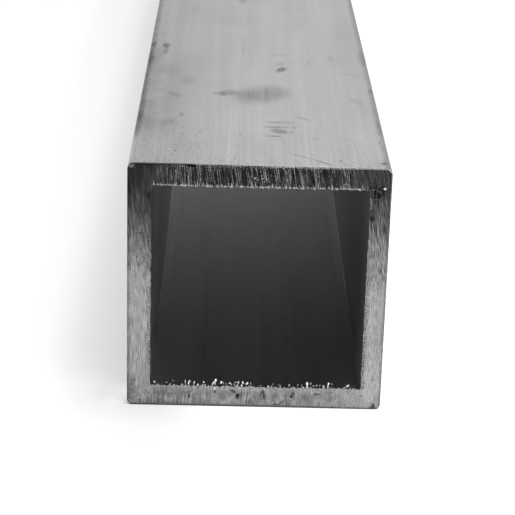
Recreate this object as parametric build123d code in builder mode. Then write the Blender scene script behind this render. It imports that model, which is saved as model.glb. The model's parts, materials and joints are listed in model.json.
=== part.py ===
"""Square box section: one aluminium extrusion, 1 1/2 in across with a 10 SWG wall, sawn to length.

The tube lies on a level surface with its length along Y and one flat side down. The origin is
on that surface, below the middle of the tube.
"""

import os

from build123d import *

# Driving dimensions, in millimetres.
side = 38.1  # outside width and height of the section, 1 1/2 in
wall = 3.25  # thickness of all four walls, 10 SWG
length = 300.0  # from one sawn end to the other
outer_radius = 0.9  # what the die leaves on the four outside corners
inner_radius = 0.25  # what the mandrel leaves on the four inside corners

# The square bore follows from the outside and the wall.
bore = side - 2 * wall


# The section is drawn upright, sitting on the surface, and runs as far forwards as back.
with BuildPart() as square_tube:
    with BuildSketch(Plane.XZ) as section:
        with Locations((0, side / 2)):
            RectangleRounded(side, side, outer_radius)
            RectangleRounded(bore, bore, inner_radius, mode=Mode.SUBTRACT)
    extrude(amount=length / 2, both=True)

square_tube.part.label = "square_tube"

os.makedirs("parts", exist_ok=True)
export_step(square_tube.part, "parts/square_tube.step")
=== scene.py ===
"""Square box section of mill-finish aluminium: its skin, its sawn ends, its bore and the burr the saw left.

Everything is in metres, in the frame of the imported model: the tube lies along Y, its front end at -Y.
The tables of marks are in millimetres, and so is what a method or helper takes where it says so.
"""

import functools
import json
import math
import random

import bpy
from mathutils import Matrix, Vector


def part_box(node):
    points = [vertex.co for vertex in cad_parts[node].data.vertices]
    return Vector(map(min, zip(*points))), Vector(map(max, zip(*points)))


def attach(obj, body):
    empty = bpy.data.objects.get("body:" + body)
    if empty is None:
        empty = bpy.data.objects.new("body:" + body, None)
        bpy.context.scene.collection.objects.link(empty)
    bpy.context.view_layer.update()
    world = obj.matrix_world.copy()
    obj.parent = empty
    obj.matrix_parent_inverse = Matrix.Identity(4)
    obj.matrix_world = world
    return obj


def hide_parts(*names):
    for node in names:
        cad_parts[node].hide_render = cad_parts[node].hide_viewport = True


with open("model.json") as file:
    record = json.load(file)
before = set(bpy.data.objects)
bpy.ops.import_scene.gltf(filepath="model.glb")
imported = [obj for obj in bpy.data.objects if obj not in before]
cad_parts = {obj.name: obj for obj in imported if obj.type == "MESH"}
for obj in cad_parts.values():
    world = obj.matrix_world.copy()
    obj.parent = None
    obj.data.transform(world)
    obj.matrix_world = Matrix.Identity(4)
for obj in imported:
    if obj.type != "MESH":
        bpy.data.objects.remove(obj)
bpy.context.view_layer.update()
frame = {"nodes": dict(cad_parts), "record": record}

MM = 0.001

# ---- The section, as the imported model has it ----
NODE = "square_tube"
low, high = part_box(NODE)
SIDE = high.x - low.x
LENGTH = high.y - low.y
FRONT = low.y
MIDDLE = (low.z + high.z) / 2  # height of the tube's axis

corners = [(abs(v.co.x), abs(v.co.z - MIDDLE)) for v in frame["nodes"][NODE].data.vertices]
bore_corners = [(x, z) for x, z in corners if max(x, z) < 0.45 * SIDE]
BORE = 2 * max(x for x, z in bore_corners)
OUTER_RADIUS = SIDE / 2 - max(x for x, z in corners if z > SIDE / 2 - 1e-6)
INNER_RADIUS = BORE / 2 - max(x for x, z in bore_corners if z > BORE / 2 - 1e-6)
BORE_OFFSET = 0.2 * MM  # the die's core sat a little to the right

# ---- Node trees written as Python ----


class Value:
    """A socket. Plain maths on one that carries a number adds the Math nodes for it."""

    def __init__(self, tree, socket):
        self.tree = tree
        self.socket = socket

    def maths(self, operation, *values):
        return self.tree.node("ShaderNodeMath", {"operation": operation}, dict(enumerate(values)))["Value"]

    def __add__(self, other):
        return self.maths("ADD", self, other)

    def __sub__(self, other):
        return self.maths("SUBTRACT", self, other)

    def __rsub__(self, other):
        return self.maths("SUBTRACT", other, self)

    def __mul__(self, other):
        return self.maths("MULTIPLY", self, other)

    def __truediv__(self, other):
        return self.maths("DIVIDE", self, other)

    def __rtruediv__(self, other):
        return self.maths("DIVIDE", other, self)

    def __pow__(self, other):
        return self.maths("POWER", self, other)

    def __rpow__(self, other):
        return self.maths("POWER", other, self)

    def __neg__(self):
        return self.maths("MULTIPLY", self, -1.0)

    def __abs__(self):
        return self.maths("ABSOLUTE", self)

    def __lt__(self, other):
        return self.maths("LESS_THAN", self, other)

    def __gt__(self, other):
        return self.maths("GREATER_THAN", self, other)

    __radd__ = __add__
    __rmul__ = __mul__

    def least(self, other):
        return self.maths("MINIMUM", self, other)

    def most(self, other):
        return self.maths("MAXIMUM", self, other)


class Node:
    """A node's outputs, by name or number."""

    def __init__(self, tree, made):
        self.tree = tree
        self.made = made

    def __getitem__(self, name):
        return Value(self.tree, pick(self.made.outputs, name))


def pick(sockets, name):
    """The socket of that name or number among those that the node's settings leave in use."""
    used = [s for s in sockets if s.enabled]
    return used[name] if isinstance(name, int) else next(s for s in used if s.name == name)


class Tree:
    """A node tree, for a material, the world or Geometry Nodes."""

    def __init__(self, tree):
        self.tree = tree

    def node(self, kind, settings=None, inputs=None):
        """Adds a node: its type, its settings, then the values or links of its sockets."""
        made = self.tree.nodes.new(kind)
        for name, value in (settings or {}).items():
            setattr(made, name, value)
        for name, value in (inputs or {}).items():
            socket = pick(made.inputs, name)
            if isinstance(value, Value):
                self.tree.links.new(value.socket, socket)
            else:
                socket.default_value = value
        return Node(self, made)

    def xyz(self, vector):
        parts = self.node("ShaderNodeSeparateXYZ", {}, {0: vector})
        return parts["X"], parts["Y"], parts["Z"]

    def vector(self, x, y, z):
        return self.node("ShaderNodeCombineXYZ", {}, {"X": x, "Y": y, "Z": z})["Vector"]

    def vectors(self, operation, a, b):
        return self.node("ShaderNodeVectorMath", {"operation": operation}, {0: a, 1: b})["Vector"]

    def length(self, vector):
        return self.node("ShaderNodeVectorMath", {"operation": "LENGTH"}, {0: vector})["Value"]

    def smooth(self, value, start, end):
        """0 up to start and 1 from end, with a soft step between them, whichever is larger."""
        settings = {"interpolation_type": "SMOOTHSTEP"}
        inputs = {"Value": value, "From Min": start, "From Max": end}
        return self.node("ShaderNodeMapRange", settings, inputs)["Result"]

    def ramp(self, value, start, end):
        """The same step between two lengths in millimetres."""
        return self.smooth(value, start * MM, end * MM)

    def clamp(self, value):
        return self.node("ShaderNodeClamp", {}, {"Value": value})["Result"]

    def noise(self, x, y, z, detail=0.0, rough=0.5):
        """Noise from about 0.25 to 0.75, one bump to a unit of each coordinate."""
        inputs = {"Vector": self.vector(x, y, z), "Scale": 1.0, "Detail": detail, "Roughness": rough}
        return self.node("ShaderNodeTexNoise", {"noise_dimensions": "3D"}, inputs)[0]

    def drawn(self, spot, wide, long, detail=0.0, rough=0.5):
        """Noise with bumps of that width and length in millimetres, along the tube."""
        x, y, z = spot
        return self.noise(x / (wide * MM), y / (long * MM), z / (wide * MM), detail, rough)

    def mark(self, place, centre, size, lean=0.0, axis="Z", soft=0.5):
        """1 inside an oval mark and 0 outside it. Sizes are half widths, before it leans about its axis."""
        offset = self.vectors("SUBTRACT", place, centre)
        if lean:
            turn = {"Vector": offset, "Center": (0.0, 0.0, 0.0), "Angle": math.radians(lean)}
            settings = {"rotation_type": axis + "_AXIS"}
            offset = self.node("ShaderNodeVectorRotate", settings, turn)["Vector"]
        return self.smooth(self.length(self.vectors("DIVIDE", offset, size)), 1 + soft, 1 - soft)


def grey(level):
    return (level, level, level, 1.0)


# ---- The saw and what it left ----
# Places on an end are in millimetres: across from the middle, and up from the floor.
BLADE_RADIUS = 200 * MM
BLADE_CENTRE = 2.0 * MM  # its height, when it cuts the middle of the tube
BLADE_DROP = 0.12  # how much it sinks as it feeds to the right
UPRIGHT_FROM = 32 * MM  # above this height and towards the left,
UPRIGHT = 0.11  # its marks lean this much less
SKIM = 0.05 * MM  # how far the cut lies behind its highest ridges

# Each row of the next tables: across, up, half width, half height, lean to the right in degrees, and
# how strong. Pits that chips left in the front end, and how dark each is, as painted shade in them:
PITS = (
    (-2.45, 1.75, 0.30, 0.42, -20, 1.00),
    (-3.10, 2.50, 0.55, 0.18, -35, 0.80),
    (1.50, 2.00, 0.20, 0.85, 10, 0.85),
    (1.15, 2.35, 0.13, 0.55, -20, 0.60),
    (5.70, 1.88, 0.24, 0.26, 0, 1.00),
    (5.92, 2.35, 0.19, 0.38, 20, 0.75),
    (-9.70, 1.60, 0.14, 0.32, 0, 0.90),
    (-9.70, 2.25, 0.26, 0.11, 0, 0.65),
    (9.45, 2.30, 0.48, 0.13, 0, 0.85),
    (-5.85, 2.35, 0.17, 0.22, -20, 0.90),
    (4.10, 0.75, 0.60, 0.17, 40, 0.60),
    (3.30, 0.55, 0.30, 0.14, 0, 0.50),
    (-1.00, 1.60, 0.08, 0.95, -8, 0.65),
    (-0.45, 1.10, 0.08, 0.50, -8, 0.40),
    (11.60, 2.65, 0.34, 0.12, 0, 0.50),
    (16.10, 2.20, 0.24, 0.12, 0, 0.60),
    (18.00, 0.50, 0.28, 0.42, 0, 0.85),
    (17.85, 0.26, 0.50, 0.15, 0, 0.75),
    (16.42, 30.45, 0.46, 0.50, 15, 0.82),
    (16.10, 31.15, 0.22, 0.36, -20, 0.60),
    (16.55, 31.70, 0.12, 0.30, 0, 0.35),
    (17.25, 34.05, 0.27, 0.42, 10, 0.92),
    (16.60, 34.20, 0.24, 0.15, 0, 0.85),
    (16.20, 34.58, 0.30, 0.11, -20, 0.85),
    (17.75, 34.72, 0.15, 0.13, 0, 0.75),
    (16.75, 35.30, 0.17, 0.13, 0, 0.65),
    (17.50, 35.30, 0.15, 0.14, 0, 0.65),
    (17.00, 34.88, 0.13, 0.13, 0, 0.65),
    (17.80, 20.50, 0.19, 0.17, 0, 0.50),
    (17.70, 4.95, 0.16, 0.16, 0, 0.45),
    (13.05, 35.75, 0.22, 0.20, 0, 0.90),
    (12.45, 35.30, 0.27, 0.25, 0, 0.80),
    (-18.46, 37.95, 0.20, 0.20, 0, 0.70),
    (-17.90, 4.10, 0.14, 0.18, 0, 0.50),
    (-14.90, 1.45, 0.75, 0.42, 0, 0.20),
    (-16.30, 21.40, 0.30, 0.90, -20, 0.30),
    (-17.15, 27.45, 0.38, 0.12, 0, 0.45),
    (-17.20, 27.95, 0.42, 0.10, 0, 0.28),
    (-16.90, 25.20, 0.10, 0.45, -15, 0.35),
)
# Bright scraps on it:
SCRAPS = (
    (18.04, 35.08, 0.20, 0.18, 0, 1.50),
    (12.40, 35.25, 0.50, 0.46, 0, 0.42),
    (-18.50, 37.76, 0.42, 0.38, 0, 0.40),
    (18.70, 37.76, 0.46, 0.08, -45, 0.80),
    (-0.72, 36.22, 0.14, 0.10, 0, 1.10),
    (-1.15, 36.50, 0.11, 0.10, 0, 0.50),
    (-0.30, 35.95, 0.11, 0.09, 0, 0.45),
    (0.35, 36.20, 0.15, 0.12, 0, 0.70),
    (1.00, 36.05, 0.15, 0.10, 0, 0.62),
    (1.30, 35.80, 0.15, 0.09, 0, 0.50),
    (0.62, 35.72, 0.12, 0.09, 0, 0.45),
    (0.20, 36.60, 0.11, 0.10, 0, 0.50),
    (1.60, 36.65, 0.09, 0.08, 0, 0.40),
    (3.40, 37.75, 0.16, 0.09, 0, 0.35),
    (8.65, 37.50, 0.12, 0.14, 0, 0.35),
    (8.40, 36.70, 0.09, 0.10, 0, 0.40),
    (6.55, 36.80, 0.10, 0.10, 0, 0.30),
    (16.05, 18.35, 0.10, 0.12, 0, 0.60),
    (16.12, 21.90, 0.12, 0.10, 0, 0.50),
    (16.15, 33.30, 0.12, 0.20, 0, 0.18),
    (16.12, 32.10, 0.11, 0.20, 0, 0.22),
    (16.12, 28.40, 0.09, 0.34, 0, 0.16),
    (-15.62, 34.30, 0.06, 0.50, 0, 0.18),
    (-5.90, 2.90, 0.18, 0.20, 0, 1.00),
    (-17.60, 3.60, 0.09, 2.10, -2, 0.22),
    (-18.20, 31.60, 0.08, 1.60, 8, 0.10),
)
# Paler and darker patches on it, and how much paler:
PATCHES = (
    (-15.9, 1.9, 1.7, 1.1, 0, 0.18),
    (-17.6, 0.8, 1.5, 0.8, 0, 0.26),
    (-10.9, 1.7, 1.3, 1.2, 0, -0.14),
    (-8.2, 1.5, 0.9, 1.0, 0, 0.10),
    (-3.8, 1.2, 1.0, 0.9, 0, 0.10),
    (-1.2, 1.6, 1.0, 1.0, 0, -0.12),
    (5.9, 1.7, 1.5, 1.1, 0, -0.17),
    (11.0, 1.6, 1.2, 1.1, 0, -0.13),
    (17.4, 21.4, 1.3, 2.3, 0, -0.24),
    (17.4, 13.2, 1.4, 4.5, 0, -0.07),
    (17.4, 26.6, 1.2, 1.2, 0, -0.14),
    (-17.5, 5.0, 1.3, 1.2, 0, 0.10),
    (-17.4, 20.8, 1.4, 1.4, 0, 0.15),
    (-17.4, 32.4, 1.2, 1.4, 0, 0.14),
    (-14.9, 36.5, 1.3, 1.1, 0, 0.16),
    (6.1, 36.2, 1.1, 0.9, 0, 0.70),
    (8.4, 36.4, 0.9, 1.0, 0, -0.15),
    (10.8, 36.4, 0.9, 1.0, 0, 0.15),
)
# Where it is frayed into dark flecks:
FRAYED = (
    (16.9, 34.5, 1.4, 1.3, 0, 0.95),
    (16.4, 31.0, 0.6, 1.3, 0, 0.60),
    (-16.2, 23.0, 0.6, 2.4, 0, 0.35),
)
# Nicks in the top edge, and how dark the painted shade in each is:
NICKS = (
    (-10.05, 37.96, 0.66, 0.22, 0, 1.00),
    (-9.58, 37.92, 0.42, 0.22, 0, 1.00),
    (-10.75, 38.04, 0.35, 0.10, 0, 0.97),
    (-14.40, 38.08, 4.00, 0.11, 0, 0.80),
)


def saw_paths(x, z, lean=0.0):
    """A number that stays the same along the arc that one tooth cuts, in metres to the right."""
    centre = BLADE_CENTRE - BLADE_DROP * x
    rise = z - centre
    upright = (z - UPRIGHT_FROM).most(0.0) * x.tree.ramp(x, -4, -13) * UPRIGHT
    return x + rise * rise / (2 * BLADE_RADIUS) + z * lean - upright


def saw_ridges(tree, x, z, seed):
    """Height of the broad ridges that the teeth left, about 0 to 1."""
    ridges = tree.noise(saw_paths(x, z) / (0.9 * MM), z / (30 * MM), seed)
    crossing = tree.noise(saw_paths(x, z, 0.05) / (0.7 * MM), z / (20 * MM), seed + 8.0)
    return ridges * 0.6 + crossing * 0.4


def marks(tree, place, rows, soft=0.4, deep=20):
    """The marks of a table, each as strong as it says, up to so many millimetres from the front end."""
    for across, up, wide, tall, lean, strength in rows:
        centre, size = (across * MM, FRONT, up * MM), (wide * MM, deep * MM, tall * MM)
        yield tree.mark(place, centre, size, lean, "Y", soft) * strength


def strongest(values):
    return functools.reduce(Value.most, values)


def pitted(tree, place):
    """How dark the front end is with its pits, as painted shade in them, which have ragged outlines."""
    x, _, z = tree.xyz(place)
    wobble = tree.noise(x / (0.4 * MM), 3.0, z / (0.4 * MM), 1.0) - 0.5
    place = tree.vectors("ADD", place, tree.vector(wobble * (0.35 * MM), 0.0, wobble * (0.50 * MM)))
    return strongest(marks(tree, place, PITS, 0.6))


def nicked(tree, place):
    """How dark the painted shade in the nicks of the top edge is, on the end and from above."""
    return strongest(marks(tree, place, NICKS, deep=0.5))


# ---- The tube, one closed skin of quads ----
# Its rows run out over the front end, back along the outside, in over the back end and along the bore.
QUARTER = 216  # steps around a quarter of the section
ARC = 8  # how many of them round the corner
END_ROWS = 24
SKIN_ROWS = 14
BORE_ROWS = 16
BACK_ROW = END_ROWS + SKIN_ROWS  # the first of the back end
BORE_ROW = BACK_ROW + END_ROWS  # and of the bore
ALL_ROWS = BORE_ROW + BORE_ROWS
CRISP_ANGLE = math.radians(50)  # a steeper edge isn't shaded smooth

# The bake map, in shares of its side: where each strip starts, and how tall it is
MAP_MARGIN = 0.004
OUTSIDE_TALL = 0.575
BORE_START, BORE_TALL = 0.590, 0.195
FRONT_START, BACK_START = 0.795, 0.889
END_TALL, END_STEP = 0.040, 0.047  # half an end, and the step from it to the other half

# What the saw did to the shape
WORN_LENGTH = 1.2 * MM  # how far from the cut
GROOVE_DEPTH = 0.05 * MM
EDGE_DEPTH = 0.05 * MM  # how far the outer edge is worn down at the right
PIT_DEPTH = 0.08 * MM
LIP_WANDER = 0.40 * MM  # how far the bore's edge wanders at the left, half as far as at the right
TOP_WANDER = 0.75 * MM
TOP_DROP = 0.06 * MM  # how far its top edge hangs into the bore


def section_point(tree, turn, half, radius):
    """A point of the rounded square outline, for a turn from 0 to 4 quarters."""
    quarter = turn.maths("FLOOR", turn)
    step = turn - quarter
    flat = (QUARTER - ARC) / (2 * QUARTER)
    angle = tree.clamp((step - flat) / (1 - 2 * flat)) * (math.pi / 2)
    up = tree.clamp(step / flat)
    across = 1 - tree.clamp((step - 1 + flat) / flat)
    x = (half - radius) * across + radius * angle.maths("COSINE", angle)
    z = (half - radius) * up + radius * angle.maths("SINE", angle)
    spin = quarter * (math.pi / 2)
    c, s = spin.maths("COSINE", spin), spin.maths("SINE", spin)
    return x * c - z * s, x * s + z * c


def new_group(name, sizes, meshes=("OUTPUT",)):
    """A Geometry Nodes tree with an input for every size, and the node that gives them."""
    group = bpy.data.node_groups.new(name, "GeometryNodeTree")
    for way in meshes:
        group.interface.new_socket("Mesh", in_out=way, socket_type="NodeSocketGeometry")
    for size in sizes:
        group.interface.new_socket(size, in_out="INPUT", socket_type="NodeSocketFloat")
    tree = Tree(group)
    return group, tree, tree.node("NodeGroupInput")


def tube_tree(materials):
    """Geometry Nodes: a flat grid bent into the tube, with its marks, its bake map and its materials."""
    sizes = {
        "Side": SIDE, "Bore": BORE, "Length": LENGTH,
        "Outer radius": OUTER_RADIUS, "Inner radius": INNER_RADIUS, "Bore offset": BORE_OFFSET,
    }
    group, tree, given = new_group("box_section", sizes)
    side, bore, length = given["Side"], given["Bore"], given["Length"]

    grid = tree.node(
        "GeometryNodeMeshGrid", {},
        {"Size X": 1.0, "Size Y": 1.0, "Vertices X": 4 * QUARTER + 1, "Vertices Y": ALL_ROWS + 1},
    )
    grid_x, grid_y, _ = tree.xyz(tree.node("GeometryNodeInputPosition")["Position"])
    turn = (grid_x + 0.5) * 4
    row = (grid_y + 0.5) * ALL_ROWS
    mesh = grid["Mesh"]
    for name, first, last in (
        ("sawn_end", 0, ALL_ROWS),
        ("mill_skin", END_ROWS, BACK_ROW),
        ("bore_skin", BORE_ROW, ALL_ROWS),
    ):
        inputs = {"Geometry": mesh, "Material": materials[name], "Selection": (row > first) * (row < last)}
        mesh = tree.node("GeometryNodeSetMaterial", {}, inputs)["Geometry"]

    def stretch(first, count):
        """0 to 1 over the rows of one stretch."""
        return tree.clamp((row - first) / count)

    def tightened(share, tight=0.6):
        """Rows closer together at both edges of an end face."""
        wave = share * (2 * math.pi)
        return share - wave.maths("SINE", wave) * (tight / (2 * math.pi))

    def bunched(share, power=4.0):
        """Rows bunched up near both ends of a long face."""
        reach = (share.least(1 - share) * 2) ** power / 2
        return reach + (share > 0.5) * (1 - reach * 2)

    across = tightened(stretch(0, END_ROWS)) - tightened(stretch(BACK_ROW, END_ROWS))
    back = bunched(stretch(END_ROWS, SKIN_ROWS)) - bunched(stretch(BORE_ROW, BORE_ROWS))
    half = (bore + (side - bore) * across) / 2
    radius = given["Inner radius"] + (given["Outer radius"] - given["Inner radius"]) * across
    x, z = section_point(tree, turn, half, radius)
    shape = tree.vector(x + given["Bore offset"] * (1 - across), (back - 0.5) * length, z + side / 2)
    mesh = tree.node("GeometryNodeSetPosition", {}, {"Geometry": mesh, "Position": shape})["Geometry"]
    mesh = tree.node("GeometryNodeMergeByDistance", {}, {"Geometry": mesh, "Distance": 1e-6})["Geometry"]
    mesh = tree.node("GeometryNodeFlipFaces", {}, {"Mesh": mesh})["Mesh"]
    mesh = with_bake_map(tree, mesh, grid["UV Map"])
    mesh = worn(tree, mesh)

    angle = tree.node("GeometryNodeInputMeshEdgeAngle")["Unsigned Angle"]
    mesh = tree.node(
        "GeometryNodeSetShadeSmooth", {"domain": "EDGE"},
        {"Geometry": mesh, "Selection": angle > CRISP_ANGLE, "Shade Smooth": False},
    )["Geometry"]
    tree.node("NodeGroupOutput", {}, {"Mesh": mesh})
    return group, sizes


def with_bake_map(tree, mesh, grid_map):
    """Lays the outside, the bore and both halves of each end on one map, the ends much enlarged."""
    u, v, _ = tree.xyz(grid_map)
    row = v * ALL_ROWS

    def on_face(value):
        settings = {"domain": "FACE", "data_type": "FLOAT"}
        return tree.node("GeometryNodeFieldOnDomain", settings, {"Value": value})[0]

    face_row = on_face(row)
    half = on_face(u) > 0.5
    _, y, _ = tree.xyz(tree.node("GeometryNodeInputPosition")["Position"])
    width = 1 - 2 * MAP_MARGIN

    is_front = face_row < END_ROWS
    is_bore = face_row > BORE_ROW
    is_back = (face_row > BACK_ROW) * (1 - is_bore)
    is_end = is_front + is_back
    along = MAP_MARGIN + (y / LENGTH + 0.5) * width
    around = MAP_MARGIN + (u * 2 - half) * width
    front_v = FRONT_START + row / END_ROWS * END_TALL + half * END_STEP
    back_v = BACK_START + (row - BACK_ROW) / END_ROWS * END_TALL + half * END_STEP
    skin_v = MAP_MARGIN + u * OUTSIDE_TALL
    bore_v = BORE_START + u * BORE_TALL
    map_u = is_end * around + (1 - is_end) * along
    map_v = is_front * front_v + is_back * back_v + is_bore * bore_v + (1 - is_end - is_bore) * skin_v
    return tree.node(
        "GeometryNodeStoreNamedAttribute", {"data_type": "FLOAT2", "domain": "CORNER"},
        {"Geometry": mesh, "Name": "OFBake", "Value": tree.vector(map_u, map_v, 0.0)},
    )["Geometry"]


def worn(tree, mesh):
    """What the saw did to the shape: grooves and pits on both ends, and ragged edges round the bore."""
    place = tree.node("GeometryNodeInputPosition")["Position"]
    x, y, z = tree.xyz(place)
    end = y.maths("SIGN", y)
    at_end = tree.clamp(1 - (LENGTH / 2 - abs(y)) / WORN_LENGTH)
    up = z - MIDDLE
    reach = abs(x).most(abs(up))
    near_bore = tree.ramp(reach - BORE / 2, 0.45, 0) * at_end
    near_side = tree.ramp(SIDE / 2 - reach, 0.2, 0) * tree.ramp(x, -2, 4) * at_end

    groove = (0.5 - saw_ridges(tree, x, z, end * 20.0)) * GROOVE_DEPTH
    pits = pitted(tree, place) * (z < MIDDLE)
    sunk = (SKIM + groove + near_side * EDGE_DEPTH + pits * PIT_DEPTH).most(0.0) * at_end
    ragged = tree.noise(x / (0.45 * MM), end * 30.0, z / (0.45 * MM), 2.0, 0.7) - 0.5
    lip = ragged * (LIP_WANDER + (x > 0.0) * LIP_WANDER).most((up > 0.0) * TOP_WANDER)
    lip = near_bore * (lip + (up > abs(x)) * TOP_DROP)
    move = tree.vector(
        -lip * (x.maths("SIGN", x) * (abs(x) > abs(up) - 0.1 * MM)),
        -end * sunk,
        -lip * (up.maths("SIGN", up) * (abs(up) > abs(x) - 0.1 * MM)),
    )
    return tree.node("GeometryNodeSetPosition", {}, {"Geometry": mesh, "Offset": move})["Geometry"]


def new_object(name, data):
    """An object in the scene, at the origin."""
    made = bpy.data.objects.new(name, data)
    bpy.context.scene.collection.objects.link(made)
    return made


def grown(name, group, sizes, start=None):
    """The plain mesh that a Geometry Nodes tree makes, from a mesh or from nothing, as an object."""
    piece = new_object(name, start or bpy.data.meshes.new(name))
    modifier = piece.modifiers.new(name, "NODES")
    modifier.node_group = group
    for socket in group.interface.items_tree:
        if socket.name in sizes:
            modifier[socket.identifier] = sizes[socket.name]
    graph = bpy.context.evaluated_depsgraph_get()
    made = piece.evaluated_get(graph)
    mesh = bpy.data.meshes.new_from_object(made, preserve_all_data_layers=True, depsgraph=graph)
    piece.modifiers.clear()
    piece.data = mesh
    return piece


# ---- Materials ----
MILL_GREY, CUT_GREY, BORE_GREY = 0.375, 0.33, 0.355  # the outside, the cut and the bore, before their marks


def new_material(name):
    material = bpy.data.materials.new(name)
    material.use_nodes = True
    material.node_tree.nodes.clear()
    return material, Tree(material.node_tree)


def metal(tree, level, rough, normal):
    """The Principled shader of bare aluminium of that grey level, and the material's output."""
    shades = {"Factor": level, "A": grey(0.0), "B": grey(1.0)}
    colour = tree.node("ShaderNodeMix", {"data_type": "RGBA"}, shades)["Result"]
    inputs = {"Base Color": colour, "Metallic": 1.0, "Roughness": rough, "Normal": normal}
    shader = tree.node("ShaderNodeBsdfPrincipled", {}, inputs)
    tree.node("ShaderNodeOutputMaterial", {}, {"Surface": shader["BSDF"]})


def bump(tree, height, depth):
    return tree.node("ShaderNodeBump", {}, {"Height": height, "Distance": depth, "Strength": 1.0})["Normal"]


def object_place(tree):
    return tree.node("ShaderNodeTexCoord")["Object"]


# Marks on the top wall, in millimetres: across from the middle, back from the front end, half
# width, half length, lean in degrees, how dark
SPOTS = (
    (2.9, 39.7, 2.3, 3.5, -10, 0.16),  # a thumb's width of grime, drawn out to the left
    (0.9, 38.2, 3.4, 4.8, -16, 0.20),
    (-0.8, 35.8, 3.3, 4.4, -6, 0.19),
    (-2.4, 36.2, 1.7, 3.0, 0, 0.10),
    (-4.9, 38.5, 1.7, 1.3, -40, 0.30),
    (-4.4, 37.4, 1.3, 1.3, 0, 0.10),
    (-6.3, 37.5, 0.9, 1.2, -30, 0.28),
    (4.0, 53.3, 0.75, 1.6, 16, 0.62),
    (3.9, 57.0, 0.6, 1.0, 0, 0.20),
    (3.5, 63.3, 1.7, 0.8, 0, 0.14),
    (8.7, 58.0, 0.28, 1.5, 0, 0.18),
    (12.7, 62.0, 0.35, 2.0, 0, 0.14),
    (13.7, 60.0, 2.2, 3.0, 0, 0.06),
    (15.4, 51.3, 2.0, 0.5, 0, 0.10),
    (15.6, 35.0, 0.9, 2.2, -20, 0.11),
    (-16.1, 68.2, 0.70, 1.6, 0, 0.60),
    (-16.1, 64.6, 0.35, 2.4, 0, 0.32),
    (-18.35, 68.9, 0.55, 1.6, 0, 0.42),
    (-17.9, 62.0, 1.3, 5.0, 0, 0.12),
    (-16.6, 64.0, 1.0, 3.0, 0, 0.10),
    (-18.2, 57.0, 1.0, 5.0, 0, 0.06),
    (18.3, 62.5, 0.8, 4.5, 0, 0.20),
    (18.4, 41.0, 0.4, 1.4, 0, 0.16),
    (18.4, 20.0, 0.5, 3.6, 0, 0.16),
    (16.0, 27.0, 3.4, 9.0, 0, 0.07),
    (-2.5, 65.8, 0.28, 2.8, 0, 0.14),
    (-2.5, 105.4, 0.8, 2.8, 0, 0.30),
    (-2.6, 88.0, 3.8, 4.8, 0, 0.07),
    (-12.1, 25.1, 0.40, 1.0, 0, 0.30),
    (-13.9, 20.4, 1.3, 1.2, 0, 0.12),
    (-10.9, 8.0, 2.2, 5.5, 0, 0.08),
    (-12.35, 9.5, 0.14, 0.34, 0, 0.66),
    (-12.35, 6.6, 0.15, 0.34, 0, 0.55),
    (-9.0, 16.6, 0.16, 0.9, 0, 0.30),
    (-2.7, 15.2, 0.22, 0.45, 0, 0.36),
    (-11.6, 14.7, 0.14, 0.5, 0, 0.26),
    (2.9, 17.4, 1.0, 1.3, -30, 0.45),
    (3.9, 16.6, 0.7, 0.7, 0, 0.22),
    (4.9, 16.9, 0.26, 0.8, 0, 0.22),
    (5.3, 19.5, 0.35, 0.45, 0, 0.30),
    (9.4, 22.0, 0.2, 0.45, 0, 0.24),
    (11.8, 3.2, 0.14, 0.8, 0, 0.50),
    (18.0, 2.6, 0.38, 0.6, 0, 0.55),
    (17.9, 12.8, 0.2, 0.6, 0, 0.34),
    (8.4, 13.7, 0.4, 1.0, 0, 0.14),
    (-13.6, 36.6, 0.8, 1.8, -30, 0.18),
    (-11.6, 45.0, 1.2, 2.8, 0, 0.13),
    (-15.0, 50.0, 1.6, 5.0, 0, 0.08),
)
# Scratches on it: from across and back, to across and back, half width, how dark
SCRATCHES = (
    (5.7, 25.4, 7.9, 23.4, 0.24, 0.42),
    (4.3, 6.6, 8.2, 3.2, 0.11, 0.42),
    (8.0, 3.3, 10.5, 1.0, 0.20, 0.58),
    (-3.7, 5.0, -3.7, 2.3, 0.07, 0.40),
    (-7.0, 30.5, -6.2, 29.0, 0.10, 0.16),
    (12.0, 42.0, 13.4, 41.2, 0.10, 0.12),
)
# Rows where something was dragged across the die lines: back, from, to, how dark
RUBS = (
    (22.3, 0.9, 5.7, 0.22), (21.7, 1.3, 5.4, 0.22), (19.5, 0.7, 4.6, 0.46), (14.7, 0.8, 3.4, 0.44),
    (22.8, -15.1, -12.9, 0.16), (21.2, -15.1, -12.5, 0.14), (13.0, 1.6, 4.0, 0.10),
)


def grime(tree, place, lines):
    """How dark the top wall is with the marks above."""
    spot = tree.xyz(place)
    rag = tree.drawn(spot, 0.5, 1.3, 2.0, 0.6) - 0.5
    ragged = tree.vectors("ADD", place, tree.vector(rag * (0.9 * MM), rag * (1.6 * MM), 0.0))
    total = 0.0
    for across, back, wide, long, lean, dark in SPOTS:
        centre = (across * MM, FRONT + back * MM, SIDE)
        total = tree.mark(ragged, centre, (wide * MM, long * MM, 1.5 * MM), lean, soft=0.5) * dark + total
    total = total * (0.85 + (lines - 0.40) * 0.9)
    for x1, back1, x2, back2, wide, dark in SCRATCHES:
        centre = ((x1 + x2) / 2 * MM, FRONT + (back1 + back2) / 2 * MM, SIDE)
        size = (math.hypot(x2 - x1, back2 - back1) / 2 * MM, wide * MM, 1.5 * MM)
        lean = -math.degrees(math.atan2(back2 - back1, x2 - x1))
        total = tree.mark(place, centre, size, lean, soft=0.4) * dark + total
    valleys = 0.30 + 0.70 * tree.smooth(lines, 0.42, 0.52)
    for back, start, stop, dark in RUBS:
        centre = ((start + stop) / 2 * MM, FRONT + back * MM, SIDE)
        rub = tree.mark(place, centre, ((stop - start) / 2 * MM, 0.45 * MM, 1.5 * MM), soft=0.4)
        total = total + rub * valleys * dark
    return total


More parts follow.
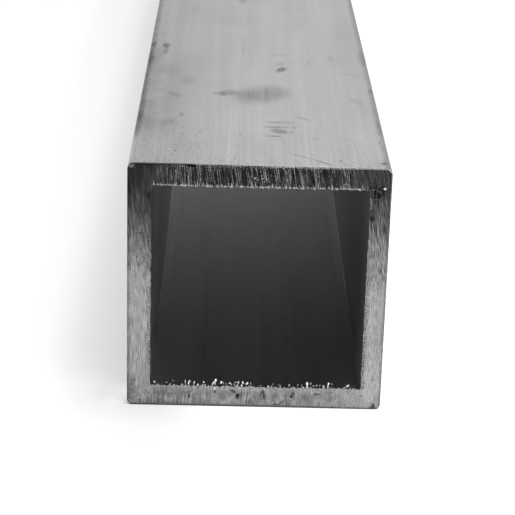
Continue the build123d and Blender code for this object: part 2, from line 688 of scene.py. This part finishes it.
def mill_skin():
    """The outside as it left the die: fine lines along its length on dull grey, stained at one side, with
    painted light and shade.
    """
    material, tree = new_material("mill_skin")
    place = object_place(tree)
    x, y, z = spot = tree.xyz(place)
    up = z - MIDDLE
    from_cut = LENGTH / 2 - abs(y)

    # Drawn in the die
    fresh = tree.ramp(from_cut, 45, 6)
    lines = tree.drawn(spot, 0.36, 45, 1.0, 0.7)
    broken = tree.drawn(spot, 0.26, 1.4, 1.0, 0.6)
    bands = tree.drawn(spot, 2.2, 90, 2.0, 0.6)
    shade = (lines - 0.5) * (0.26 + 0.30 * fresh) + (bands - 0.5) * 0.34
    shade = shade + (broken - 0.5) * (0.10 + 0.24 * fresh)

    # Handled and stored since, and paler in places as painted light
    clouds = tree.drawn(spot, 8, 20, 2.0, 0.5)
    stain = tree.drawn(spot, 2.2, 5.0, 4.0, 0.65)
    on_left = tree.ramp(x, -8.5, -17) * (0.40 + 0.60 * tree.ramp(y, -76, -112))
    on_left = on_left * (0.30 + 0.70 * tree.ramp(z, 8, 36))
    stained = on_left * (0.40 + 0.60 * tree.smooth(stain, 0.32, 0.66)) * 0.25
    at_cut = tree.ramp(y, -130, -141)
    stained = stained * (1 - 0.5 * at_cut * tree.ramp(x, -12, -14))
    in_front = tree.ramp(y, -50, -74) * (1 - at_cut)
    outer = 0.10 * tree.ramp(x, -15.5, -18) * (0.6 + 0.6 * tree.smooth(stain, 0.40, 0.60))
    inner = 0.07 * tree.ramp(x, -6, -12) * tree.ramp(y, -80, -100)
    stained = stained + in_front * (outer + inner) + 0.05 * tree.ramp(x, 17.2, 18.2)
    # Painted light: paler within 20 to 95 mm of each end and towards the right, a little less so at the far
    # right
    painted_light = tree.ramp(from_cut, 95, 20) * 0.12 + tree.ramp(x, -12, 7) * 0.14
    painted_light = painted_light - tree.ramp(x, 7, 18) * 0.05
    flecks = tree.drawn(spot, 0.5, 0.5, 1.0) - 0.5
    shade = shade + flecks * at_cut * tree.ramp(x, -6, -9) * 0.40
    shade = shade + (clouds - 0.5) * 0.26 + (stain - 0.5) * 0.14 + painted_light - 0.14

    # Darker along its edges, and scuffed by the saw's table
    ragged = tree.drawn(spot, 0.45, 0.8, 2.0, 0.6)
    scuffed = tree.ramp(from_cut, 6, 0.5) * (tree.smooth(ragged, 0.46, 0.60) - 0.3)
    from_edge = SIDE / 2 - abs(x).least(abs(up))
    wander = (tree.drawn(spot, 4, 3, 3.0, 0.7) - 0.5) * (0.9 * MM)
    at_right = tree.ramp(x, -5, 5)
    edge = tree.ramp(from_edge + wander, 1.35, 0.38) * (0.51 - 0.11 * at_right)
    edge = edge * (1 - at_cut * (1 - at_right))
    hatched = tree.drawn(spot, 0.6, 0.35, 2.0, 0.7) - 0.5
    hatched = hatched * tree.ramp(from_cut, 22, 8) * tree.ramp(x, -7, -12)
    shade = shade + scuffed * 0.26 + hatched * 0.40

    # Rolled over by the saw along the top of the cut: painted shade at the left and a painted highlight at
    # the right; darker near the cut at both sides
    on_top = up > SIDE / 2 - 0.5 * MM
    crest = tree.ramp(from_cut, 0.75, 0.25) * on_top
    rolled_shade = crest * (0.45 * tree.ramp(x, -8, -10.5) + 0.25 * tree.ramp(x, 1, -7))
    dull = tree.ramp(from_cut, 6, 1) * on_top
    dull = dull * (0.12 * tree.ramp(x, 12, 18) + 0.06 * tree.ramp(x, -12, -14))
    shade = shade + crest * tree.ramp(x, 2, 7) * 0.10

    # Small knocks everywhere but on top, where they are drawn one by one
    knocks = tree.drawn(spot, 3.2, 5.0, 2.0, 0.7)
    knocks = tree.smooth(knocks, 0.69, 0.74) * (up < SIDE / 2 - 0.5 * MM) * 0.4

    dark = grime(tree, place, lines) + stained + edge + knocks + rolled_shade + dull
    dark = tree.clamp(dark.most(nicked(tree, place)))
    level = MILL_GREY * (1 + shade) * (1 - dark)
    rough = 0.34 + (lines - 0.5) * 0.2 + dark * 0.12
    metal(tree, level, rough, bump(tree, lines + broken * 0.5, 0.006 * MM))
    return material


def sawn_end():
    """The cut: arcs of the saw on bright metal, torn along some of them, a burr along the bore's top, with
    painted shade and highlights.
    """
    material, tree = new_material("sawn_end")
    place = object_place(tree)
    x, y, z = tree.xyz(place)
    up = z - MIDDLE
    seed = y / (7.5 * MM)

    def over_cut(number, wide, tall, detail=1.0, rough=0.5):
        """Noise of that width and height in millimetres."""
        return tree.noise(x / (wide * MM), seed + number, z / (tall * MM), detail, rough)

    grain = over_cut(0.0, 0.20, 0.24)
    arc = saw_paths(x, z)
    path = arc + (grain - 0.5) * (0.07 * MM)

    def along_arcs(number, wide, run, long, detail=0.0, rough=0.5):
        """Noise of that width and length in millimetres, drawn out along the saw's arcs."""
        return tree.noise(path / (wide * MM), run / (long * MM), seed + number, detail, rough)

    # Marks of the teeth
    patchy = tree.noise(arc / (0.42 * MM), seed + 2.0, z / (1.8 * MM), 2.0, 0.6)
    high_up = tree.ramp(z, 17, 25)
    right = tree.ramp(x, -2, 2)
    calm = right * tree.ramp(z, 26, 20)
    along = z - (z - 25 * MM).most(0.0) * 0.45  # the marks are longer higher up
    short = along_arcs(3.0, 0.12, along, 1.15, 1.0, 0.6)
    fine = along_arcs(4.0, 0.13, along, 2.4, 1.0, 0.6)
    fine = fine + (short - fine) * tree.smooth(right * 0.8 + high_up * 0.5, 0.0, 0.8)
    streaks = along_arcs(5.0, 0.40, along, 2.4, 1.0, 0.6)
    broad = tree.noise(saw_paths(x, z, 0.04) / (0.8 * MM), z / (6 * MM), seed + 6.0, 1.0)
    keen = 0.65 + 0.70 * tree.smooth(over_cut(4.0, 2.6, 2.6), 0.40, 0.60)
    in_top = tree.smooth(up, BORE / 2 - 2 * MM, BORE / 2)
    amid = tree.ramp(abs(x), 15.5, 10.5)
    lines = tree.smooth(along_arcs(11.0, 0.13, z, 3.2), 0.50, 0.66)
    # The torn lines: paler partly as torn metal and partly as painted highlight
    torn = lines * (0.45 + 0.55 * tree.smooth(patchy, 0.40, 0.60)) * (0.12 + 0.44 * in_top * amid)
    torn = torn * (0.62 + 0.62 * tree.smooth(grain, 0.40, 0.60))
    # Painted shade in the gaps between the torn lines along the top
    gaps = tree.smooth(along_arcs(13.0, 0.14, z, 3.4), 0.49, 0.59) * in_top * amid
    drawn = along_arcs(17.0, 0.16, z, 8, 1.0, 0.6) - 0.5
    drawn = drawn * tree.ramp(z, 22, 31) * (2.1 + 0.9 * right)
    drawn = drawn * (1 - in_top * (0.7 - right * 0.2))
    fogged = tree.ramp(z, 24, 34) * tree.ramp(x, 10, 15) * 0.06
    fogged = fogged + in_top * tree.ramp(abs(x + 13 * MM), 4.5, 2.5) * streaks * 0.10

    # Burr along the top edge of the bore, and the crushed outer edge above it
    spikes = tree.noise(path / (0.25 * MM), 0.0, seed + 21.0, 1.0, 0.7)
    over = up - BORE / 2
    burr_height = 0.10 * MM + tree.smooth(spikes, 0.46, 0.72) * (0.85 * MM)
    above_bore = (abs(x - BORE_OFFSET) < BORE / 2) * (over > -0.3 * MM)
    curls = over_cut(15.0, 0.28, 0.7)
    burr_height = burr_height + tree.smooth(curls, 0.46, 0.60) * (0.14 * MM)
    fading = 1 - 0.75 * tree.ramp(abs(x + 0.2 * MM), 14.8, 15.5)
    burr = tree.smooth(over / burr_height, 1.0, 0.25) * above_bore * fading
    burr = burr * (0.26 + 0.74 * tree.smooth(curls, 0.42, 0.60))
    haze_depth = 0.08 * MM + tree.noise(x / (0.6 * MM), seed, 3.0, 2.0, 0.7) * (0.90 * MM)
    haze = tree.smooth((SIDE / 2 - up) / haze_depth, 1.0, 0.2) * tree.smooth(grain, 0.42, 0.60)
    haze = haze * amid * (0.28 + 0.14 * tree.ramp(abs(x - 2 * MM), 9, 6))

    # Frayed lips of the bore: specks of shadow and of torn metal, painted as dark specks and glints, and
    # darker rims along the lips and the outer edges
    specks = tree.smooth(over_cut(5.0, 0.23, 0.23), 0.50, 0.58)
    flecks = tree.smooth(over_cut(7.0, 0.30, 0.30), 0.46, 0.56)
    sparks = tree.smooth(over_cut(8.0, 0.20, 0.17), 0.52, 0.66)
    beside = abs(up) < BORE / 2
    from_right = abs(x - BORE_OFFSET - BORE / 2)
    from_left = abs(x - BORE_OFFSET + BORE / 2)
    shadow_lip = tree.ramp(from_right, 0.7, 0.1) * (1 - high_up) * 0.55
    shadow_lip = shadow_lip.most(tree.ramp(from_left, 0.5, 0.1) * 0.35) * beside
    light_lip = tree.ramp(from_right, 0.5, 0.1) * high_up * beside * 0.50
    below = abs(x - BORE_OFFSET) < BORE / 2
    low_lip = tree.ramp(abs(over + BORE + 0.2 * MM), 0.5, 0.1) * below
    left_rim = tree.ramp(abs(x + 18.75 * MM), 0.4, 0.1)
    left_rim = left_rim * tree.ramp(z, 20, 14) * 0.20
    # Darker rims with specks along the lips of the bore and along the outer edges
    darker_rims = tree.ramp(from_right, 0.8, 0.1) * (1 - high_up * 0.5)
    low_down = tree.ramp(abs(z - 12.5 * MM), 9, 4)
    darker_rims = darker_rims.most(tree.ramp(from_left, 1.05, 0.1) * low_down) * beside
    darker_rims = darker_rims.most(tree.ramp(SIDE / 2 - abs(x), 0.45, 0.1) * 0.7)
    darker_rims = darker_rims * (0.13 + 0.58 * specks)
    bristling = 0.40 + 0.75 * tree.ramp(abs(x + 3 * MM), 4, 2)
    sparkle = sparks * light_lip.most(low_lip * bristling)
    # Paler, rougher metal: partly torn metal and burr, partly painted highlights and glints
    rough_metal_and_glints = tree.clamp(torn + fogged + burr + haze + sparkle)

    # Darker towards the bottom, the lower left and the outer edges, in blotches; painted shadow along the
    # foot
    stain = over_cut(9.0, 1.8, 1.8, 3.0, 0.65)
    beyond = tree.ramp(x, -14, -17)
    low_left = tree.ramp(x + up * 1.2, -31, -43) + beyond * 0.20
    bottom = tree.smooth(up, -BORE / 2 + 0.5 * MM, -BORE / 2 - 1.5 * MM)
    bottom = bottom * (0.90 - 0.50 * tree.ramp(x, 5, 16) - 0.80 * beyond)
    from_edge = SIDE / 2 - abs(x).most(abs(up))
    out_edge = tree.ramp(from_edge + (stain - 0.5) * (1.0 * MM), 0.6, 0.1)
    # Painted shadow: a dark line along the foot of the cut
    foot = tree.ramp(z + (stain - 0.5) * (0.5 * MM), 0.36, 0.1)
    stained = tree.clamp((low_left + bottom) * tree.smooth(stain, 0.30, 0.60) + out_edge * 0.50)
    frayed = strongest(marks(tree, place, FRAYED, 0.5)).most(left_rim)
    # Painted shade in the pits and nicks, with the frayed flecks and the specks of shadow along the lips
    pits = pitted(tree, place).most(specks * shadow_lip.most(low_lip * 0.40))
    pits = pits.most(flecks * frayed).most(nicked(tree, place))
    bright = strongest(marks(tree, place, SCRAPS))

    shade = (fine - 0.5) * (1.8 + right * 0.2 - calm * 0.7 + high_up * (1 - in_top) * (2.5 - right)) * keen
    shade = shade + (streaks - 0.5) * (0.55 - 0.30 * high_up * (1 - in_top))
    shade = shade + (broad - 0.5) * 0.3 + (grain - 0.5) * (0.6 + in_top * 0.8)
    shade = shade + drawn + sum(marks(tree, place, PATCHES, 0.5))
    # A paler band at the lower right: painted sheen
    sheen_band = tree.ramp(abs(x - 17.1 * MM), 1, 0.3) * calm
    level = CUT_GREY + tree.ramp(z, 2.5, 5.5) * 0.008 + sheen_band * 0.03
    level = level * (1 + shade) * (1 - 0.55 * stained) * (1 - 0.65 * foot) * (1 - 0.57 * gaps)
    level = level * (1 - darker_rims)
    level = level + tree.clamp(rough_metal_and_glints + bright) * (0.60 - level)
    level = level * (1 - 0.93 * pits) + tree.clamp(bright - 0.5) * 0.4
    rough = 0.16 + (streaks - 0.5) * 0.10 + rough_metal_and_glints * 0.40 + bright * 0.4
    height = fine * 0.4 + streaks * 0.3 + broad * 0.2 + rough_metal_and_glints * 0.3 + drawn * 0.3
    metal(tree, level, rough, bump(tree, height, 0.028 * MM))
    return material


def bore_skin():
    """The inside, duller than the outside, with soft streaks along it, and painted light and shade on it.
    """
    material, tree = new_material("bore_skin")
    x, y, z = spot = tree.xyz(object_place(tree))
    fine = tree.drawn(spot, 0.4, 50, 2.0, 0.6)
    bands = tree.drawn(spot, 2.2, 90, 1.0)
    mottle = tree.drawn(spot, 2.5, 5, 2.0)
    into_corner = abs(x - BORE_OFFSET).least(abs(z - MIDDLE))
    walls = abs(x - BORE_OFFSET) > abs(z - MIDDLE)
    at_right = x > 0.0
    inside = LENGTH / 2 - abs(y)
    # Painted highlight: pale bands beside the creases, on the floor growing deeper in
    corner = tree.smooth(into_corner, BORE / 2 - 2.1 * MM, BORE / 2 - 0.8 * MM)
    corner = corner * (0.10 + 0.34 * tree.ramp(inside, 8, 50) * (1 - walls))
    # Painted shade in the creases, more deeper in and at the right
    crease = tree.smooth(into_corner, BORE / 2 - 0.34 * MM, BORE / 2 - 0.12 * MM)
    deep = tree.ramp(inside, 12, 90)
    shade = (fine - 0.5) * 0.22 + (bands - 0.5) * 0.20 + (mottle - 0.5) * 0.16 + corner
    shade = shade - crease * (0.42 + tree.ramp(inside, 1, 22) * (0.18 + at_right * 0.48))
    # Painted light: paler deeper in, on the walls and towards the corners; the left wall paler still, the
    # right wall near the cut
    aside = tree.smooth(into_corner, BORE / 2 - 8.5 * MM, BORE / 2)
    shade = shade + deep * 0.26 - 0.20 + walls * (0.30 - aside * 0.45) + aside * 0.46
    shade = shade + walls * (1 - at_right) * tree.ramp(inside, -2, 10) * (1.05 - aside * 0.60)
    shade = shade + walls * tree.ramp(inside, 2, 60) * (1.25 - at_right * 1.05)
    shade = shade + walls * at_right * tree.ramp(inside, 16, 1) * 0.65
    metal(tree, BORE_GREY * (1 + shade), 0.30, bump(tree, fine, 0.004 * MM))
    return material


def burr_metal():
    """Freshly torn metal, from dull to dazzling, its brightest chips partly painted glints."""
    material, tree = new_material("torn_metal")
    spot = tree.xyz(object_place(tree))
    bright = tree.node("ShaderNodeAttribute", {"attribute_name": "bright"})["Fac"]
    grain = tree.drawn(spot, 0.15, 0.15, 2.0)
    level = tree.clamp(0.05 + bright * (0.75 + grain * 0.4))
    metal(tree, level, 0.35, bump(tree, grain, 0.03 * MM))
    return material


# ---- Burr: chips of torn metal standing along the bottom edge of the bore ----
# The same numbers as for the marks on an end; how strong is how bright, the brightest partly painted glints
CHIPS = (
    (-14.95, 3.55, 0.20, 0.26, -30, 0.32),
    (-13.10, 3.50, 0.15, 0.12, 0, 0.22),
    (-12.55, 3.37, 0.13, 0.14, 0, 0.42),
    (-12.20, 3.80, 0.12, 0.20, 0, 0.20),
    (-10.80, 3.32, 0.13, 0.17, 0, 0.50),
    (-10.30, 3.65, 0.11, 0.36, 0, 0.52),
    (-9.82, 3.42, 0.13, 0.29, 10, 0.90),
    (-9.68, 3.76, 0.16, 0.22, 10, 0.85),
    (-8.98, 3.55, 0.15, 0.25, 25, 0.60),
    (-8.45, 3.30, 0.18, 0.18, 0, 0.75),
    (-7.75, 3.30, 0.13, 0.14, 20, 0.55),
    (-7.55, 3.66, 0.15, 0.17, 0, 0.85),
    (-7.35, 3.30, 0.13, 0.13, -20, 0.50),
    (-6.15, 3.50, 0.14, 0.32, 20, 0.90),
    (-5.85, 3.55, 0.11, 0.32, 0, 0.75),
    (-5.78, 4.00, 0.20, 0.30, 15, 1.00),
    (-4.95, 3.65, 0.17, 0.27, 25, 0.75),
    (-4.60, 3.60, 0.14, 0.20, 0, 0.32),
    (-4.20, 3.48, 0.12, 0.16, 30, 0.32),
    (-3.65, 3.60, 0.14, 0.14, 0, 0.80),
    (-3.40, 3.40, 0.11, 0.17, 0, 0.55),
    (-2.95, 3.40, 0.13, 0.22, -30, 0.34),
    (-2.75, 3.78, 0.22, 0.13, 0, 0.38),
    (-2.35, 3.75, 0.17, 0.21, 0, 0.68),
    (-2.45, 3.36, 0.12, 0.20, 0, 0.55),
    (-1.72, 3.75, 0.13, 0.24, 0, 1.00),
    (-1.86, 3.36, 0.13, 0.22, 15, 0.95),
    (-1.50, 3.55, 0.10, 0.12, 0, 0.35),
    (-1.05, 3.60, 0.18, 0.28, 30, 0.88),
    (-0.50, 3.60, 0.13, 0.26, -10, 0.30),
    (0.95, 3.36, 0.14, 0.15, 0, 0.20),
    (2.12, 3.30, 0.14, 0.18, 0, 0.85),
    (2.66, 3.30, 0.12, 0.18, 0, 0.45),
    (2.80, 3.56, 0.12, 0.10, 0, 0.28),
    (3.75, 3.50, 0.38, 0.09, 0, 0.18),
    (5.25, 3.42, 0.13, 0.20, 0, 0.50),
    (6.55, 3.52, 0.14, 0.22, 25, 0.26),
    (7.15, 3.46, 0.11, 0.20, 0, 0.26),
    (7.95, 3.78, 0.21, 0.30, 0, 1.00),
    (7.97, 3.38, 0.15, 0.20, 0, 0.90),
    (8.50, 3.80, 0.11, 0.22, 0, 0.42),
    (8.50, 3.28, 0.12, 0.15, 0, 0.45),
    (8.92, 3.42, 0.11, 0.20, -20, 0.42),
    (9.40, 3.52, 0.15, 0.14, 0, 0.58),
    (9.85, 3.56, 0.13, 0.14, 0, 0.32),
    (10.45, 3.42, 0.24, 0.14, 35, 0.52),
    (11.16, 3.76, 0.15, 0.26, 10, 1.00),
    (11.08, 3.38, 0.13, 0.22, 0, 0.75),
    (11.65, 3.80, 0.10, 0.20, 0, 0.28),
    (12.75, 3.28, 0.13, 0.13, 0, 0.32),
    (13.60, 3.28, 0.15, 0.15, 20, 0.34),
    (13.98, 3.50, 0.20, 0.14, 35, 0.85),
    (14.20, 3.68, 0.16, 0.11, 35, 0.60),
)
GRAINS = 170  # small ones between them, each of their six numbers drawn from a range
GRAIN_RANGES = ((-15.4, 15.6), (3.02, 3.30), (0.06, 0.13), (0.06, 0.15), (-40, 40), (0.12, 0.50))
CHIP_DEPTH = 0.28 * MM  # behind the cut
LOW_CHIP = 3.4 * MM  # one that stands lower than this grows out of the cut itself,
LOW_CHIP_DEPTH = 0.04 * MM  # with its front this far behind it
THICKEST_CHIP = 0.2 * MM
LOOK_DOWN = 0.48  # how much higher a chip stands to look level with one at the cut


def chip_points():
    """A mesh with a vertex for every chip, at both ends, with its size, its lean and how bright it is."""
    chance = random.Random(5)
    grains = [tuple(chance.uniform(*ends) for ends in GRAIN_RANGES) for _ in range(GRAINS)]
    spots, shapes, turns, shades = [], [], [], []
    for way in (-1, 1):
        for across, up, wide, tall, lean, bright in (*CHIPS, *grains):
            thick = min(wide * MM, THICKEST_CHIP)
            depth = thick + LOW_CHIP_DEPTH if up * MM < LOW_CHIP else CHIP_DEPTH
            spots.append((-way * across * MM, way * (LENGTH / 2 - depth), up * MM + depth * LOOK_DOWN))
            shapes.extend((wide * MM, thick, tall * MM))
            turns.extend((0.0, math.radians(lean) * -way, 0.0))
            shades.append(bright)
    mesh = bpy.data.meshes.new("chip_points")
    mesh.from_pydata(spots, [], [])
    mesh.attributes.new("shape", "FLOAT_VECTOR", "POINT").data.foreach_set("vector", shapes)
    mesh.attributes.new("turn", "FLOAT_VECTOR", "POINT").data.foreach_set("vector", turns)
    mesh.attributes.new("bright", "FLOAT", "POINT").data.foreach_set("value", shades)
    return mesh


def chips_tree(materials):
    """Geometry Nodes: a jagged chip on every vertex of the mesh above."""
    sizes = {"Raggedness": 0.07 * MM}
    group, tree, given = new_group("burr_chips", sizes, ("INPUT", "OUTPUT"))

    def stored(name):
        settings = {"data_type": "FLOAT_VECTOR"}
        return tree.node("GeometryNodeInputNamedAttribute", settings, {"Name": name})["Attribute"]

    chip = tree.node("GeometryNodeMeshIcoSphere", {}, {"Radius": 1.0, "Subdivisions": 2})["Mesh"]
    mesh = tree.node(
        "GeometryNodeInstanceOnPoints", {},
        {"Points": given["Mesh"], "Instance": chip, "Scale": stored("shape"), "Rotation": stored("turn")},
    )["Instances"]
    mesh = tree.node("GeometryNodeRealizeInstances", {}, {"Geometry": mesh})["Geometry"]
    x, y, z = tree.xyz(tree.node("GeometryNodeInputPosition")["Position"])
    bump_size = 0.12 * MM
    x, y, z = x / bump_size, y / bump_size, z / bump_size
    jolts = [tree.noise(x, y + n, z, 1.0) - 0.5 for n in (0.0, 9.0, 18.0)]
    jolt = tree.vector(*(step * given["Raggedness"] for step in jolts))
    mesh = tree.node("GeometryNodeSetPosition", {}, {"Geometry": mesh, "Offset": jolt})["Geometry"]
    mesh = tree.node("GeometryNodeSetMaterial", {}, {"Geometry": mesh, "Material": materials["torn_metal"]})
    tree.node("NodeGroupOutput", {}, {"Mesh": mesh["Geometry"]})
    return group, sizes


# ---- The studio ----
ROOM_LIGHT = 0.47  # what the white room gives the paper, where the tube doesn't stand in its way
PAPER_LIFT = 0.065  # keeps the lit paper white, so that only the shadow shows on it
SIDE_LIFT, FOOT_LIFT = 0.095, 0.15  # more of it in the middle of the shadow, and close to the tube: painted light on the shadow
OPEN_LIFT = 0.07  # and more of it where no shadow falls
CORNER_SHADE = 0.90  # how much less of it before the left front corner, as a painted soft shadow there
TIP_SHADE = 0.10  # and right at that corner
FOOT_GLOW = 0.20  # how much more along the left side's foot, next to the cut, as painted light on the shadow there
PAPER_WHITE, FLAG_BLACK = 0.95, 0.03
PAPER_REACH = 3.0
PAPER_GAP, FLAG_GAP = 0.02 * MM, 0.1 * MM  # below and above the floor that the tube stands on
WHITE_FROM, WHITE_AT = 0.24, 0.42  # how far away the paper runs into the white room
LAMP_POWER = 6.9
LAMP_WIDTH, LAMP_LENGTH = 0.46, 0.80
LAMP_PLACE = Vector((0.208, -0.31, 0.95))
FLAG_START, FLAG_FULL, FLAG_END = 43 * MM, 95 * MM, 260 * MM  # in front of the tube's end
FLAG_WIDTH = 500 * MM
FLAG_SKEW = 0.08  # how much further its thin edge lies at the right


def seen_plainly(tree):
    """1 for a ray that shows what it meets, straight on or in a reflection."""
    path = tree.node("ShaderNodeLightPath")
    return tree.clamp(path["Is Camera Ray"] + path["Is Glossy Ray"] + path["Is Transmission Ray"])


def staged(name, spots, material):
    """A flat sheet of the studio."""
    mesh = bpy.data.meshes.new(name)
    mesh.from_pydata(spots, [], [(0, 1, 2, 3)])
    mesh.materials.append(material)
    sheet = new_object(name, mesh)
    return sheet


def paper_lift(tree, place):
    """How much light is added to the paper where it is seen; it paints the tube's shadow lighter in places
    and adds a painted soft shadow before its left front corner.
    """
    x, y, _ = tree.xyz(place)
    beside = (abs(x) - SIDE / 2).most(0.0)
    before = (abs(y) - LENGTH / 2).most(0.0)
    away = (beside ** 2 + before ** 2) ** 0.5
    lift = PAPER_LIFT + tree.ramp(away, 20, 11) * SIDE_LIFT
    lift = lift + tree.ramp(away, 10.5, 0) * FOOT_LIFT
    lift = lift + tree.ramp(away, 19, 30).most(tree.ramp(x, 17, 21)) * OPEN_LIFT
    behind = y - FRONT
    corner = tree.ramp(behind, 8, -1) * tree.ramp(behind, -22, -11)
    corner = corner * tree.ramp(x, -3, -17) * (1 - 0.55 * tree.ramp(x, -21, -34))
    tip = tree.mark(place, (-19.4 * MM, FRONT - 2.5 * MM, 0.0), (1.6 * MM, 4.0 * MM, 10 * MM))
    at_foot = tree.ramp(x, -23.5, -19.5) + tree.ramp(x, -20.4, -19.4) * 0.3
    at_foot = at_foot * tree.ramp(behind, 9, 3.5) * tree.ramp(behind, -0.3, 1.5) * (x < 0.0)
    return lift * (1 - corner * CORNER_SHADE - tip * TIP_SHADE) + at_foot * FOOT_GLOW


def floor():
    """White paper that keeps the tube's shadow and runs into the white room further off."""
    material, tree = new_material("paper")
    seen = seen_plainly(tree)
    paper = tree.node("ShaderNodeBsdfDiffuse", {}, {"Color": grey(PAPER_WHITE)})["BSDF"]
    place = object_place(tree)
    strength = paper_lift(tree, place) * seen
    lift = tree.node("ShaderNodeEmission", {}, {"Color": grey(1.0), "Strength": strength})["Emission"]
    lifted = tree.node("ShaderNodeAddShader", {}, {0: paper, 1: lift})["Shader"]
    white = tree.node("ShaderNodeEmission", {}, {"Color": grey(1.0), "Strength": 1.0})["Emission"]
    away = tree.smooth(tree.length(place), WHITE_FROM, WHITE_AT) * seen
    surface = tree.node("ShaderNodeMixShader", {}, {0: away, 1: lifted, 2: white})["Shader"]
    tree.node("ShaderNodeOutputMaterial", {}, {"Surface": surface})
    reach, under = PAPER_REACH, low.z - PAPER_GAP
    spots = ((-reach, -reach, under), (reach, -reach, under), (reach, reach, under), (-reach, reach, under))
    staged("paper", spots, material)


def flag():
    """A dark card on the table in front of the tube, thin at its near edge, which only reflections see."""
    material, tree = new_material("dark_card")
    x, y, _ = tree.xyz(object_place(tree))
    dark = tree.node("ShaderNodeBsdfDiffuse", {}, {"Color": grey(FLAG_BLACK)})["BSDF"]
    clear = tree.node("ShaderNodeBsdfTransparent")["BSDF"]
    share = tree.smooth(y + x * FLAG_SKEW, FRONT - FLAG_START, FRONT - FLAG_FULL)
    surface = tree.node("ShaderNodeMixShader", {}, {0: share, 1: clear, 2: dark})["Shader"]
    tree.node("ShaderNodeOutputMaterial", {}, {"Surface": surface})
    near, far, side, over = FRONT - FLAG_START, FRONT - FLAG_END, FLAG_WIDTH / 2, low.z + FLAG_GAP
    spots = ((-side, far, over), (side, far, over), (side, near, over), (-side, near, over))
    card = staged("dark_card", spots, material)
    card.visible_camera = False
    card.visible_diffuse = False
    card.visible_transmission = False
    card.visible_shadow = False


def studio():
    """A white room and one soft lamp from the front and the right."""
    world = bpy.data.worlds.new("studio")
    world.use_nodes = True
    world.node_tree.nodes.clear()
    tree = Tree(world.node_tree)
    seen = seen_plainly(tree)
    level = ROOM_LIGHT + seen * (1 - ROOM_LIGHT)
    surface = tree.node("ShaderNodeBackground", {}, {"Color": grey(1.0), "Strength": level})
    tree.node("ShaderNodeOutputWorld", {}, {"Surface": surface["Background"]})
    bpy.context.scene.world = world

    lamp = bpy.data.lights.new("softbox", "AREA")
    lamp.shape = "ELLIPSE"
    lamp.size = LAMP_WIDTH
    lamp.size_y = LAMP_LENGTH
    lamp.energy = LAMP_POWER
    box = new_object("softbox", lamp)
    box.location = LAMP_PLACE
    aim = (Vector((0, FRONT, 0)) - LAMP_PLACE).normalized()
    box.rotation_euler = (math.asin(aim.y), math.atan2(-aim.x, -aim.z), 0.0)


# ---- The camera ----
# It looks down the tube from above its front end, turned a little on its own axis.
FRAME_PIXELS = 515
FOCAL_PIXELS = 1831.7
CAMERA_PLACE = Vector((-4.24, -399.7, 119.2)) * MM
YAW, PITCH, ROLL = (math.radians(a) for a in (-0.965, 20.849, -1.661))


def camera():
    lens = bpy.data.cameras.new("camera")
    lens.sensor_width = 36.0
    lens.lens = FOCAL_PIXELS / FRAME_PIXELS * lens.sensor_width
    lens.clip_start = 0.01
    eye = new_object("camera", lens)
    turn = Matrix.Rotation(YAW, 4, "Z") @ Matrix.Rotation(-PITCH, 4, "X") @ Matrix.Rotation(ROLL, 4, "Y")
    upright = Matrix.Rotation(math.pi / 2, 4, "X")
    eye.matrix_world = Matrix.Translation(CAMERA_PLACE) @ turn @ upright
    bpy.context.scene.camera = eye


# ---- Putting it together ----
bpy.context.scene.view_settings.view_transform = "Standard"
camera()
studio()
floor()
flag()

finishes = {material.name: material for material in (mill_skin(), sawn_end(), bore_skin(), burr_metal())}
tube = grown("tube_finish", *tube_tree(finishes))
chips = grown("burr_chips", *chips_tree(finishes), chip_points())
for piece in (tube, chips):
    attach(piece, "root")
    frame["record"]["materials"][0]["slot"]
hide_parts(NODE)
